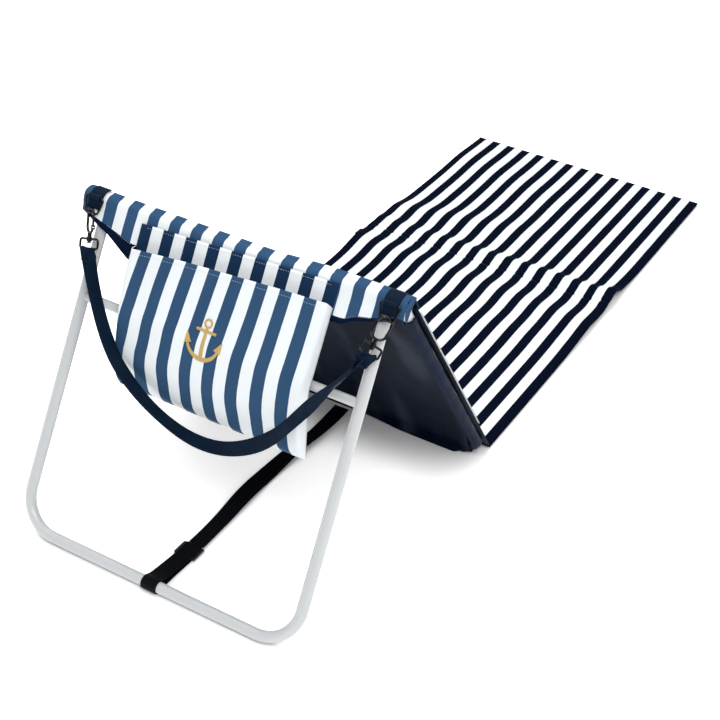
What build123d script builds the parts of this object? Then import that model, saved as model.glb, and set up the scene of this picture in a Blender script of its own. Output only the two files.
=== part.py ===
"""Folding beach-mat lounger with a tubular A-frame backrest, in millimetres.

+X runs across the mat, +Y from the crease towards the foot end, +Z up from the ground.
The origin is on the ground, under the middle of the whole lounger.
"""
import os
from math import atan2, cos, degrees, hypot, pi, radians, sin, tan

from build123d import *

# Mat: 29 stripes of 17 mm across, lying flat in two hinged halves.
STRIPE = 17.0
MAT_W = 29 * STRIPE
HALF_W = MAT_W / 2
MAT_T = 8.0
SKIN = 1.2
GAP = 0.3

# Stations along the mat, measured from the crease, and the shift to the origin.
CREASE_Y = -211.3
SEAT_START = 5.0
SEAM = 489.0
FOOT_END = 970.0
FOOT_HINGE_Z = 12.0

# Tubes.
TUBE_R = 8.0
TUBE_BORE_R = 6.8
CROSSBAR_R = 6.5
CROSSBAR_BORE_R = 5.5

# Back frame: a U whose lower bar lies just behind the crease.
BACK_TILT = 53.2
BACK_BAR = (-14.0, 10.0)
BACK_LEN = 524.4
SIDE_X = 236.3
SIDE_RISE = 10.0
BACK_CORNER_R = 36.0
CAP_T = 2.0

# Leg frame: a U hung from the pivots near the top of the back frame.
LEG_TILT = 63.5
LEG_TOP_X = 217.0
LEG_FOOT_X = 223.0
LEG_CORNER_R = 55.0
WEB_T = 1.4
LEG_BAR_Z = TUBE_R + WEB_T + GAP
CROSSBAR_DROP = 132.0

# Pivot rivets and the washers between the two frames.
RIVET_R = 2.5
RIVET_HEAD_R = 5.0
RUNNING_GAP = 0.05

# Back panel, in front of the tubes, and its fabric sleeves.
SLEEVE_T = 1.2
SLEEVE_TOP = 45.0
PAD_NEAR = 9.7
PAD_FAR = 13.7
PAD_SKIN = 0.9

# Hood over the ridge.
HOOD_T = 1.2
HOOD_FLAP = 38.0
HOOD_CORNER_X = 214.0
HOOD_CORNER_R = 14.8
HOOD_FRONT_ANGLE = 45.0

# Pouch on the outer side of the legs.
POUCH_HALF_W = 150.0
POUCH_T = 1.2

# Hooks and rings for the carry strap.
HARDWARE_X = 227.0
LOOP_BAR_R = 19.8
LOOP_BAR_ANGLE = 142.0
RING_WIRE_R = 1.5
RING_DROP = 21.8
HOOK_WIRE_R = 1.8
HOOK_BOW_R = 9.5
HOOK_CANT = 33.0
HOOK_LEAN = 12.0
GATE_R = 1.5
GATE_PIVOT = -17.5

# Webbing.
STRAP_W = 25.0
STRAP_T = 1.6


def crease(y):
    """Distance from the crease turned into the part's own Y."""
    return CREASE_Y + y


BACK = Plane(
    origin=(0, crease(BACK_BAR[0]), BACK_BAR[1]),
    x_dir=(1, 0, 0),
    z_dir=(0, -sin(radians(BACK_TILT)), -cos(radians(BACK_TILT))),
)
PIVOT_Y = crease(BACK_BAR[0]) - BACK_LEN * cos(radians(BACK_TILT))
PIVOT_Z = BACK_BAR[1] + BACK_LEN * sin(radians(BACK_TILT))
LEG_LEN = (PIVOT_Z - LEG_BAR_Z) / sin(radians(LEG_TILT))
LEG_BAR_Y = PIVOT_Y - LEG_LEN * cos(radians(LEG_TILT))
LEG = Plane(
    origin=(0, LEG_BAR_Y, LEG_BAR_Z),
    x_dir=(1, 0, 0),
    z_dir=(0, -sin(radians(LEG_TILT)), cos(radians(LEG_TILT))),
)
SECTION = Plane(origin=(0, 0, 0), x_dir=(0, 1, 0), z_dir=(1, 0, 0))


def leg_point(drop, out):
    """(Y, Z) of a point that is drop below the pivot along the legs and out from their plane."""
    c, s = cos(radians(LEG_TILT)), sin(radians(LEG_TILT))
    return PIVOT_Y - drop * c - out * s, PIVOT_Z - drop * s + out * c


def pivot_point(radius, angle):
    """(Y, Z) of a point around the pivot axis, angle measured from +Y upwards."""
    return PIVOT_Y + radius * cos(radians(angle)), PIVOT_Z + radius * sin(radians(angle))


def across(face, half_width, x=0.0):
    """A face drawn in the Y-Z section, extruded to both sides of x."""
    return Pos(x, 0, 0) * extrude(SECTION * face, amount=half_width, both=True)


def mirrored(shape):
    """The same solid on both sides of the middle."""
    return shape + mirror(shape, about=Plane.YZ)


def rod(x0, x1, y, z, radius, bore=0.0):
    """A round bar along X, with a bore where one is given."""
    section = Circle(radius) - Circle(bore) if bore else Circle(radius)
    return Plane(origin=(x0, y, z), z_dir=(1, 0, 0)) * extrude(section, amount=x1 - x0)


def swept(section, path):
    """A section swept along a path, standing square on its start."""
    return sweep(Plane(origin=path @ 0, z_dir=path % 0) * section, path=path)


def u_frame(plane, top_x, foot_x, top, corner_r):
    """A U of hollow tube: two side tubes and the bar that joins them at the bottom."""
    points = [(-top_x, top), (-foot_x, 0), (foot_x, 0), (top_x, top)]
    path = plane * FilletPolyline(*points, radius=corner_r)
    return swept(Circle(TUBE_R), path) - swept(Circle(TUBE_BORE_R), path)


def back_frame():
    frame = u_frame(BACK, SIDE_X, SIDE_X, BACK_LEN + SIDE_RISE, BACK_CORNER_R)
    hole = rod(-260, 260, PIVOT_Y, PIVOT_Z, RIVET_R + RUNNING_GAP)
    return frame - hole


def back_caps():
    """Plastic plugs in the open tops of the side tubes."""
    top = BACK_LEN + SIDE_RISE
    plug = Pos(SIDE_X, top + CAP_T / 2, 0) * Rot(90, 0, 0) * Cylinder(TUBE_R, CAP_T)
    plug += Pos(SIDE_X, top - 1.5, 0) * Rot(90, 0, 0) * Cylinder(TUBE_BORE_R - 0.1, 3)
    return mirrored(BACK * plug)


def leg_frame():
    frame = u_frame(LEG, LEG_TOP_X, LEG_FOOT_X, LEG_LEN, LEG_CORNER_R)
    return frame - rod(-260, 260, PIVOT_Y, PIVOT_Z, RIVET_R + RUNNING_GAP)


def leg_domes():
    """Domed plugs that close the tops of the leg tubes."""
    dome = Sphere(TUBE_R) - Pos(0, -TUBE_R, 0) * Box(4 * TUBE_R, 2 * TUBE_R, 4 * TUBE_R)
    dome = LEG * (Pos(LEG_TOP_X, LEG_LEN, 0) * Rot(0, 0, 0.73) * dome)
    return mirrored(dome - rod(-260, 260, PIVOT_Y, PIVOT_Z, RIVET_R + RUNNING_GAP))


def leg_blanks():
    """The leg tubes filled in, for trimming the bars welded between them."""
    leg = swept(Circle(TUBE_R), LEG * Line((-LEG_TOP_X, LEG_LEN), (-LEG_FOOT_X, 0)))
    return mirrored(leg)


def top_bar():
    reach = LEG_TOP_X - TUBE_R
    return rod(-reach, reach, PIVOT_Y, PIVOT_Z, TUBE_R, TUBE_BORE_R)


def crossbar():
    y, z = leg_point(CROSSBAR_DROP, 0)
    reach = LEG_TOP_X
    return rod(-reach, reach, y, z, CROSSBAR_R, CROSSBAR_BORE_R) - leg_blanks()


def pivot_rivets():
    """Rivets from outside each side tube, through washer and leg, into the top bar."""
    outer = SIDE_X + TUBE_R
    inner = LEG_TOP_X - TUBE_R
    rivet = rod(inner, outer + RUNNING_GAP, PIVOT_Y, PIVOT_Z, RIVET_R)
    rivet += rod(outer + RUNNING_GAP, outer + 1.8, PIVOT_Y, PIVOT_Z, RIVET_HEAD_R)
    rivet += rod(inner - 2.0, inner, PIVOT_Y, PIVOT_Z, RIVET_HEAD_R)
    return mirrored(rivet)


def pivot_washers():
    start = LEG_TOP_X + TUBE_R + 0.1
    stop = SIDE_X - TUBE_R - 0.1
    return mirrored(rod(start, stop, PIVOT_Y, PIVOT_Z, 7.0, RIVET_R + RUNNING_GAP))


def flat_cover(y0, y1):
    """The stitched fabric skin of one mat half, hollow for its foam."""
    length = y1 - y0
    middle = crease((y0 + y1) / 2)
    skin = Box(MAT_W, length, MAT_T) - Box(MAT_W - 16, length - 16, MAT_T - 2 * SKIN)
    return Pos(0, middle, MAT_T / 2) * skin


def flat_foam(y0, y1):
    length = y1 - y0
    middle = crease((y0 + y1) / 2)
    foam = Box(MAT_W - 16.4, length - 16.4, MAT_T - 2 * SKIN - 0.2)
    return Pos(0, middle, MAT_T / 2) * foam


def seam_hinge():
    """The doubled fabric between the two mat halves."""
    return Pos(0, crease(SEAM), 2.5) * Box(MAT_W - 6, 3.2, 4)


def closure_tab():
    """The short webbing tab sewn into the left end of the seam."""
    return Pos(-HALF_W - 7.2, crease(466), 2) * Box(14, 22, 1.4)


def back_slab(half_w, low, high, near, far):
    """A slab in front of the back frame, between two distances from the tubes' plane."""
    slab = Box(2 * half_w, high - low, far - near)
    return BACK * (Pos(0, (low + high) / 2, -(near + far) / 2) * slab)


def back_cover():
    outer = back_slab(HALF_W, -8, BACK_LEN - 12, PAD_NEAR, PAD_FAR)
    core = back_slab(HALF_W - 8, 0, BACK_LEN - 20, PAD_NEAR + PAD_SKIN, PAD_FAR - PAD_SKIN)
    return outer - core


def back_foam():
    near, far = PAD_NEAR + PAD_SKIN + 0.1, PAD_FAR - PAD_SKIN - 0.1
    return back_slab(HALF_W - 8.2, 0.2, BACK_LEN - 20.2, near, far)


def back_local(up, front):
    """(Y, Z) of a point up the back frame and in front of its plane."""
    c, s = cos(radians(BACK_TILT)), sin(radians(BACK_TILT))
    y = crease(BACK_BAR[0]) - up * c + front * s
    return y, BACK_BAR[1] + up * s + front * c


def back_backing():
    """The rear lining: flat behind the pad, then behind the lower bar and folded under it."""
    line = Polyline(
        back_local(BACK_LEN - 14, 8.9),
        back_local(120, 8.9),
        back_local(16, -10),
        (crease(-36), 0.9),
        (crease(-8), 0.9),
    )
    return across(trace(line, line_width=0.8), SIDE_X - TUBE_R - SLEEVE_T - 2)


def side_sleeves():
    """Fabric sleeves that hold the panel to the side tubes, open below the pivots."""
    ring = Circle(TUBE_R + 0.2 + SLEEVE_T) - Circle(TUBE_R + 0.2)
    length = BACK_LEN - SLEEVE_TOP - BACK_CORNER_R
    sleeve = extrude(Plane(origin=(0, 0, 0), z_dir=(0, 1, 0)) * ring, amount=length)
    return mirrored(BACK * (Pos(SIDE_X, BACK_CORNER_R, 0) * sleeve))


def pivot_sector(inner, outer, start, stop):
    """Part of a ring around the pivot axis, in the Y-Z section."""
    steps = 24
    angles = [start + (stop - start) * i / steps for i in range(steps + 1)]
    near = [pivot_point(inner, a) for a in angles]
    far = [pivot_point(outer, a) for a in reversed(angles)]
    return make_face(Polyline(*near, *far, close=True))


def hood():
    """The striped flap that wraps the ridge and hangs down the outer side of the legs."""
    rear = 90 + LEG_TILT
    near = TUBE_R + GAP
    body = across(pivot_sector(near, near + HOOD_T, HOOD_FRONT_ANGLE, rear), HOOD_CORNER_X)
    flap = [(0, near), (HOOD_FLAP, near), (HOOD_FLAP, near + HOOD_T), (0, near + HOOD_T)]
    body += across(leg_face(flap), HOOD_CORNER_X)
    width = (HALF_W - HOOD_CORNER_X) / 2
    x = HOOD_CORNER_X + width
    outer = HOOD_CORNER_R + HOOD_T
    corner = across(pivot_sector(HOOD_CORNER_R, outer, HOOD_FRONT_ANGLE, rear), width, x)
    edge = [(0, 14.8), (3, 14.8), (7.5, 10.3), (12, 10.3), (12, 11.5), (8, 11.5), (3.5, 16), (0, 16)]
    corner += across(leg_face(edge), width, x)
    wall = across(pivot_sector(near, outer, HOOD_FRONT_ANGLE, rear), 0.6, HOOD_CORNER_X)
    wall += across(leg_face([(0, near), (12, near), (12, 11.5), (3.5, 16), (0, 16)]), 0.6, HOOD_CORNER_X)
    return body + mirrored(corner + wall)


def leg_face(points):
    """A face in the Y-Z section from (drop, out) points beside the legs."""
    return make_face(Polyline(*[leg_point(d, n) for d, n in points], close=True))


def pouch_section():
    """Corners of the pouch's outside, from the mouth down the front and up the back."""
    return [
        leg_point(28, 24.6),
        leg_point(140, 28.0),
        (crease(-420.6), 262.0),
        (crease(-409.6), 203.0),
        (crease(-401.6), 203.0),
        leg_point(139, 13.6),
        leg_point(28, 13.6),
    ]


def pouch_front():
    """Front wall, side gussets and bottom in one folded piece."""
    outer = make_face(Polyline(*pouch_section(), close=True))
    inner = make_face(
        Polyline(
            leg_point(20, 23.2),
            leg_point(139.4, 26.8),
            (crease(-419.4), 262.0),
            (crease(-408.6), 204.4),
            (crease(-399.0), 204.4),
            leg_point(139, 12.0),
            leg_point(20, 12.0),
            close=True,
        )
    )
    return across(outer, POUCH_HALF_W) - across(inner, POUCH_HALF_W - POUCH_T)


def pouch_back():
    """The rear wall, sewn over the hood flap and carried past the crossbar."""
    wall = make_face(
        Polyline(
            leg_point(3, 11.8),
            leg_point(139, 11.8),
            (crease(-400.0), 203.0),
            (crease(-401.2), 203.0),
            leg_point(139.4, 13.2),
            leg_point(3, 13.2),
            close=True,
        )
    )
    return across(wall, POUCH_HALF_W)


def anchor_motif():
    """A plain embroidered anchor, laid on the slanted part of the pouch's front wall."""
    shape = Pos(0, 22.4) * (Circle(6.0) - Circle(3.5))
    shape += Pos(0, -2.3) * Rectangle(4.8, 39)
    shape += Pos(0, 12.7) * Rectangle(27.6, 3.2)
    arms = (Pos(0, 2.3) * Circle(25.3)) - (Pos(0, 7.5) * Circle(23.6)) - Pos(0, 14) * Rectangle(70, 34)
    shape += arms
    c = atan2(28.0 - 24.6, 112.0)
    face = LEG.location * Pos(0, LEG_LEN - 114, 27.81) * Rot(degrees(-c), 0, 0)
    return face * extrude(shape, amount=0.7)


def hardware_plane(side):
    """A plane at the lower bar of one D-ring: X across, Y up the legs, Z outwards."""
    drop, out = loop_bar()
    return LEG.location * Pos(side * HARDWARE_X, LEG_LEN - drop - RING_DROP, out)


def loop_bar():
    """(drop, out) of the bar that the webbing loop holds."""
    angle = radians(90 + LEG_TILT - LOOP_BAR_ANGLE)
    return -LOOP_BAR_R * sin(angle), LOOP_BAR_R * cos(angle)


def ring_loops():
    """Webbing loops sewn over the ends of the ridge, each round the bar of a D-ring."""
    outer = HOOD_CORNER_R + HOOD_T + GAP
    profile = pivot_sector(outer, outer + WEB_T, 95, LOOP_BAR_ANGLE + 4)
    bar_y, bar_z = pivot_point(LOOP_BAR_R, LOOP_BAR_ANGLE)
    profile += Pos(bar_y, bar_z) * Circle(3.4)
    profile -= Pos(bar_y, bar_z) * Circle(1.9)
    return mirrored(across(profile, 10, HARDWARE_X))


def d_ring(side):
    corners = [(-14.5, RING_DROP), (14.5, RING_DROP), (9.5, 0), (-9.5, 0)]
    path = FilletPolyline(*corners, radius=3.5, close=True)
    return hardware_plane(side) * swept(Circle(RING_WIRE_R), path)


def hook_location(side):
    """Placement of one snap hook, leaning inwards and canted so that it crosses its ring."""
    return hardware_plane(side) * Rot(0, 0, -side * HOOK_LEAN) * Rot(0, side * HOOK_CANT, 0)


def hook_body(side):
    """Open bow, ears for the gate, stem and the swivel pin with its head."""
    r = HOOK_BOW_R
    bow = ThreePointArc((r, -4.2), (0, r - 4), (-r, -4.2)) + Line((-r, -4.2), (-r, -17.2))
    bow += ThreePointArc((-r, -17.2), (0, -17.2 - r), (r, -20.4))
    wire = sweep(Plane(origin=(r, -4.2, 0), z_dir=(0, 1, 0)) * Circle(HOOK_WIRE_R), path=bow)
    ears = Pos(r, -18.9, 0) * (Box(3.0, 5.4, 5.0) - Box(3.2, 5.6, 3.6))
    pin = Pos(r, GATE_PIVOT, 0) * Cylinder(0.57, 4.2)
    foot = Pos(r, -21.2, 0) * Box(3.0, 1.6, 5.0)
    bottom = -17.2 - r
    stem = swivel_rod(2.9, bottom - 0.6, bottom - 5.4)
    shaft = swivel_rod(1.67, bottom - 5.0, bottom - 14.0)
    head = swivel_rod(2.9, bottom - 12.6, bottom - 14.2)
    return hook_location(side) * (wire + ears + pin + foot + stem + shaft + head)


def swivel_rod(radius, top, bottom):
    """A round rod on the hook's long axis."""
    return Pos(0, (top + bottom) / 2, 0) * Rot(90, 0, 0) * Cylinder(radius, top - bottom)


def hook_gate(side):
    """The sprung gate, pivoted low in the hook and closing up to its bow."""
    length = -5.0 - GATE_PIVOT
    gate = Pos(0, length / 2, 0) * Rot(90, 0, 0) * Cylinder(GATE_R, length)
    gate += Sphere(GATE_R)
    gate -= Cylinder(0.65, 8)
    return hook_location(side) * (Pos(HOOK_BOW_R, GATE_PIVOT, 0) * gate)


def swivel_eye(side):
    """The rectangular eye that turns on the hook's pin and holds the strap."""
    top = -17.2 - HOOK_BOW_R - 8.4
    corners = [(-14, top), (14, top), (14, top - 13), (-14, top - 13)]
    path = FilletPolyline(*corners, radius=3, close=True)
    eye = swept(Circle(1.6), path)
    eye += swivel_rod(3.7, top + 2.8, top - 3.6)
    eye -= swivel_rod(1.75, top + 8, top - 7)
    return hardware_plane(side) * Rot(0, 0, -side * HOOK_LEAN) * eye


def fillet_radii(points, share=0.45):
    """Radius of the arc at each corner of a route, from its shorter run and its turn."""
    radii = []
    for before, here, after in zip(points, points[1:], points[2:]):
        run_in = Vector(*here) - Vector(*before)
        run_out = Vector(*after) - Vector(*here)
        turn = radians(run_in.get_angle(run_out))
        radii.append(share * min(run_in.length, run_out.length) / tan(turn / 2))
    return radii


def strap_along(points, width_axis, name):
    """A flat strap swept along a route of straight runs and tangent arcs."""
    radii = fillet_radii(points)
    path = FilletPolyline(*points, radius=radii)
    ahead = path % 0
    across_strap = ahead.cross(Vector(*width_axis).cross(ahead)).normalized()
    plane = Plane(origin=path @ 0, x_dir=across_strap, z_dir=ahead)
    strap = sweep(plane * Rectangle(STRAP_W, STRAP_T), path=path)
    print(name, "length", round(path.length, 1), "radii", [round(r, 1) for r in radii])
    print(name, "volume over section", round(strap.volume / (path.length * STRAP_W * STRAP_T), 3))
    return strap


CARRY_ROUTE = [
    (-215, crease(-379), 377),
    (-154, crease(-436), 300),
    (-86, crease(-437), 217),
    (14, crease(-437), 181),
    (108, crease(-437), 226),
    (172, crease(-436), 318),
    (215, crease(-379), 377),
]

FLOOR_ROUTE = [
    (4, crease(-38.5), 3.0),
    (6, crease(-104), 1.6),
    (1, crease(-172), 8.0),
    (-3, crease(-240), 3.4),
    (-2, crease(-308), 9.0),
    (0, crease(-374), 2.2),
    (1, crease(-434), 4.2),
]


def carry_strap():
    return strap_along(CARRY_ROUTE, (0, 1, 0), "carry_strap")


def floor_strap():
    return strap_along(FLOOR_ROUTE, (1, 0, 0), "floor_strap")


def floor_strap_loop():
    """The strap's two layers from the slider round the leg frame's bottom bar."""
    ring = Circle(TUBE_R + 0.15 + WEB_T) - Circle(TUBE_R + 0.15)
    centre = (LEG_BAR_Y, LEG_BAR_Z)
    far_half = Pos(*centre) * (ring - Pos(20, 0) * Rectangle(40, 60))
    r = TUBE_R + 0.15 + WEB_T / 2
    end = crease(-440)
    upper = Polyline(
        (LEG_BAR_Y - 0.1, LEG_BAR_Z + r),
        (LEG_BAR_Y + 14, LEG_BAR_Z + r - 1),
        (crease(-470), 6.2),
        (end, 6.0),
    )
    lower = Line((LEG_BAR_Y - 0.1, LEG_BAR_Z - r), (end, LEG_BAR_Z - r))
    loop = across(far_half, STRAP_W / 2)
    loop += across(trace(upper, line_width=WEB_T), STRAP_W / 2)
    loop += across(trace(lower, line_width=WEB_T), STRAP_W / 2)
    return loop


def floor_slider():
    """The flat three-bar slider where the loop is closed."""
    frame = Box(34, 26, 2.2) - Pos(0, 6, 0) * Box(27, 6, 4) - Pos(0, -6, 0) * Box(27, 6, 4)
    frame = fillet(frame.edges().filter_by(Axis.Z).group_by(SortBy.LENGTH)[-1], 1)
    return Pos(0, crease(-450), 1.9 + 1.6) * frame


def carry_slider():
    """The slider on the carry strap, where its free end doubles back."""
    a, b = Vector(*CARRY_ROUTE[5]), Vector(*CARRY_ROUTE[6])
    frame = Box(33, 24, 2) - Pos(0, 6.2, 0) * Box(26.4, 5.4, 4) - Pos(0, -6.2, 0) * Box(26.4, 5.4, 4)
    along = (b - a).normalized()
    centre = a + (b - a) * 0.58
    seat = Plane(origin=centre, x_dir=(0, 1, 0), z_dir=Vector(0, 1, 0).cross(along))
    return seat.offset(2.2) * frame


PARTS = {
    "seat_cover": lambda: flat_cover(SEAT_START, SEAM - 2),
    "seat_foam": lambda: flat_foam(SEAT_START, SEAM - 2),
    "seam_hinge": seam_hinge,
    "closure_tab": closure_tab,
    "foot_cover": lambda: flat_cover(SEAM + 2, FOOT_END),
    "foot_foam": lambda: flat_foam(SEAM + 2, FOOT_END),
    "back_frame": back_frame,
    "back_caps": back_caps,
    "back_cover": back_cover,
    "back_foam": back_foam,
    "back_backing": back_backing,
    "side_sleeves": side_sleeves,
    "leg_frame": leg_frame,
    "leg_domes": leg_domes,
    "top_bar": top_bar,
    "crossbar": crossbar,
    "pivot_rivets": pivot_rivets,
    "pivot_washers": pivot_washers,
    "hood": hood,
    "pouch_back": pouch_back,
    "pouch_front": pouch_front,
    "anchor_motif": anchor_motif,
    "ring_loops": ring_loops,
    "d_ring_left": lambda: d_ring(-1),
    "d_ring_right": lambda: d_ring(1),
    "hook_left": lambda: hook_body(-1),
    "hook_right": lambda: hook_body(1),
    "gate_left": lambda: hook_gate(-1),
    "gate_right": lambda: hook_gate(1),
    "eye_left": lambda: swivel_eye(-1),
    "eye_right": lambda: swivel_eye(1),
    "carry_strap": carry_strap,
    "carry_slider": carry_slider,
    "floor_strap": floor_strap,
    "floor_strap_loop": floor_strap_loop,
    "floor_slider": floor_slider,
}

os.makedirs("parts", exist_ok=True)
for name, build in PARTS.items():
    export_step(build(), f"parts/{name}.step")
print("pivot", round(PIVOT_Y, 2), round(PIVOT_Z, 2), "leg bar", round(LEG_BAR_Y, 2), round(LEG_BAR_Z, 2))
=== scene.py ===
"""Folding mat lounger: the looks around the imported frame. Every length is in metres."""

import math

import bpy
import numpy as np
from mathutils import Matrix, Vector


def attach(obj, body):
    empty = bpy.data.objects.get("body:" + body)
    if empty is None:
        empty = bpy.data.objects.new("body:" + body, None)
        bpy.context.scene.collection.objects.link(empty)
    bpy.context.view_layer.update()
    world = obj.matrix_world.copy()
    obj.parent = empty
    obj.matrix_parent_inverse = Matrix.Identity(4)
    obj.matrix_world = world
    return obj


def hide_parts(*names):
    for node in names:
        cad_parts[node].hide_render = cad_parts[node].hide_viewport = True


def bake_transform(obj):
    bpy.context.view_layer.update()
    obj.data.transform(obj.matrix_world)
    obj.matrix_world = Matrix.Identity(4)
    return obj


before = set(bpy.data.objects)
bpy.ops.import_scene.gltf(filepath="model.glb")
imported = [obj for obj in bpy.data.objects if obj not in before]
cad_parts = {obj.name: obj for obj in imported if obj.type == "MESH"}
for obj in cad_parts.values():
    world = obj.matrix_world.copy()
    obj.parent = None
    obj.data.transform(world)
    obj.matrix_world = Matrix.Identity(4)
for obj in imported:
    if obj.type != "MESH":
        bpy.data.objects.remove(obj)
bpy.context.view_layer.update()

# Places and sizes shared with the frame.
CREASE_Y = -0.2113
HALF_W = 0.2465
STRIPE = 0.01703
SEAM_Y = 0.2777
MAT_START = CREASE_Y + 0.0045
MAT_END = 0.7587
MAT_T = 0.008
PIVOT_Y = -0.539428
PIVOT_Z = 0.429904
LEG_TILT = math.radians(63.5)
BACK_TILT = math.radians(53.2)
LEG_OUT = np.array((0.0, -math.sin(LEG_TILT), math.cos(LEG_TILT)))
BACK_FRONT = (0.0, math.sin(BACK_TILT), math.cos(BACK_TILT))
BACK_REAR = (0.0, -BACK_FRONT[1], -BACK_FRONT[2])
BACK_Y = -0.2253
BACK_Z = 0.010
BACK_LEN = 0.5244
SIDE_X = 0.2363
CORNER_R = 0.036
LEG_BAR_Y = -0.74893
LEG_BAR_Z = 0.0097
HARDWARE_X = 0.227
LOOP_BAR_R = 0.0198
LOOP_BAR_ANGLE = 142.0
POUCH_HALF_W = 0.150
POUCH_STRIPES = 17
ANCHOR_DROP = 0.124
ANCHOR_X = -0.004
ANCHOR_SCALE = 1.08
SIDES = (("left", -1), ("right", 1))

# The soft pieces' own sizes.
STRAP_W = 0.025
STRAP_T = 0.0016
CLOTH_T = 0.0011
LINING_T = 0.0007
SLEEVE_R = 0.0090
CORNER_SLEEVE_R = 0.0094
LINING_HALF_W = 0.2265
PAD_BOTTOM = -0.009
PAD_TOP = 0.5124
HOOD_FRONT_ROWS = 3
HOOD_TURN_ROWS = 13
FACING_ROWS = 3

# The straps' routes, from the left eye to the right one, and from the crease to the slider.
CARRY_ROUTE = (
    (-0.215, -0.5903, 0.377),
    (-0.154, -0.6473, 0.300),
    (-0.086, -0.6483, 0.217),
    (0.014, -0.6483, 0.181),
    (0.108, -0.6483, 0.226),
    (0.172, -0.6473, 0.318),
    (0.215, -0.5903, 0.377),
)
EYE_BAR = (0.2186, -0.5868, 0.3784)
FLOOR_ROUTE = (
    (0.004, -0.2498, 0.003),
    (0.006, -0.3153, 0.0016),
    (0.001, -0.3833, 0.008),
    (-0.003, -0.4513, 0.0034),
    (-0.002, -0.5193, 0.009),
    (0.0, -0.5853, 0.0022),
    (0.001, -0.6453, 0.0042),
)


# ---- camera and light

def add_object(name, data):
    """A new object around the data, linked into the scene."""
    made = bpy.data.objects.new(name, data)
    bpy.context.scene.collection.objects.link(made)
    return made


def aim_camera():
    """The photograph's three-quarter view from behind and above."""
    azimuth, elevation, roll = (math.radians(a) for a in (27.62447, 34.61359, 4.30166))
    forward = Vector((
        -math.sin(azimuth) * math.cos(elevation),
        math.cos(azimuth) * math.cos(elevation),
        -math.sin(elevation),
    ))
    right = Vector((math.cos(azimuth), math.sin(azimuth), 0))
    up = right.cross(forward)
    rolled_right = right * math.cos(roll) + up * math.sin(roll)
    rolled_up = up * math.cos(roll) - right * math.sin(roll)
    data = bpy.data.cameras.new("camera")
    data.sensor_width = 36
    data.lens = 74.40
    data.clip_end = 50
    camera = add_object("camera", data)
    rotation = Matrix((rolled_right, rolled_up, -forward)).transposed()
    camera.matrix_world = Matrix.Translation((0.90995, -1.93086, 1.41536)) @ rotation.to_4x4()
    bpy.context.scene.camera = camera


def area_light(name, location, target, size, power):
    data = bpy.data.lights.new(name, "AREA")
    data.shape = "DISK"
    data.size = size
    data.energy = power
    light = add_object(name, data)
    light.location = location
    aim = Vector(target) - Vector(location)
    light.rotation_euler = aim.to_track_quat("-Z", "Y").to_euler()


def light_scene():
    """Plain white studio: bright overhead, darker low down, with a soft key and a soft fill."""
    scene = bpy.context.scene
    scene.view_settings.view_transform = "Standard"
    world = bpy.data.worlds.new("studio")
    scene.world = world
    world.use_nodes = True
    nodes = Nodes(world.node_tree)
    background = nodes.tree.nodes["Background"]
    background.inputs["Color"].default_value = (1, 1, 1, 1)
    direction = nodes.add("TexCoord").outputs["Generated"]
    height = nodes.add("SeparateXYZ", {"Vector": direction}).outputs["Z"]
    span = {"Value": height, "From Min": 0.05, "From Max": 0.75, "To Min": 0.10, "To Max": 1.05}
    overhead = nodes.add("MapRange", span, interpolation_type="SMOOTHSTEP").outputs[0]
    seen = nodes.add("LightPath").outputs["Is Camera Ray"]
    nodes.feed(nodes.math("MAXIMUM", seen, overhead), background.inputs["Strength"])
    area_light("key", (1.3, -1.9, 2.6), (0, -0.2, 0.1), 1.2, 46)
    area_light("fill", (-0.9, 0.8, 3.0), (0, 0, 0.1), 1.8, 48)


# ---- shader helpers

# Every material of this script by its name; the frame's own may have the same names.
LOOKS = {}


class Nodes:
    """Short calls for the nodes of one tree."""

    def __init__(self, tree):
        self.tree = tree

    def add(self, kind, inputs=None, **settings):
        node = self.tree.nodes.new("ShaderNode" + kind)
        for key, value in settings.items():
            setattr(node, key, value)
        for key, value in (inputs or {}).items():
            self.feed(value, node.inputs[key])
        return node

    def feed(self, value, socket):
        if isinstance(value, bpy.types.NodeSocket):
            self.tree.links.new(value, socket)
        elif value is not None:
            socket.default_value = value

    def math(self, operation, first, second=None, third=None):
        node = self.add("Math", operation=operation)
        for socket, value in zip(node.inputs, (first, second, third)):
            self.feed(value, socket)
        return node.outputs[0]


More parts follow.
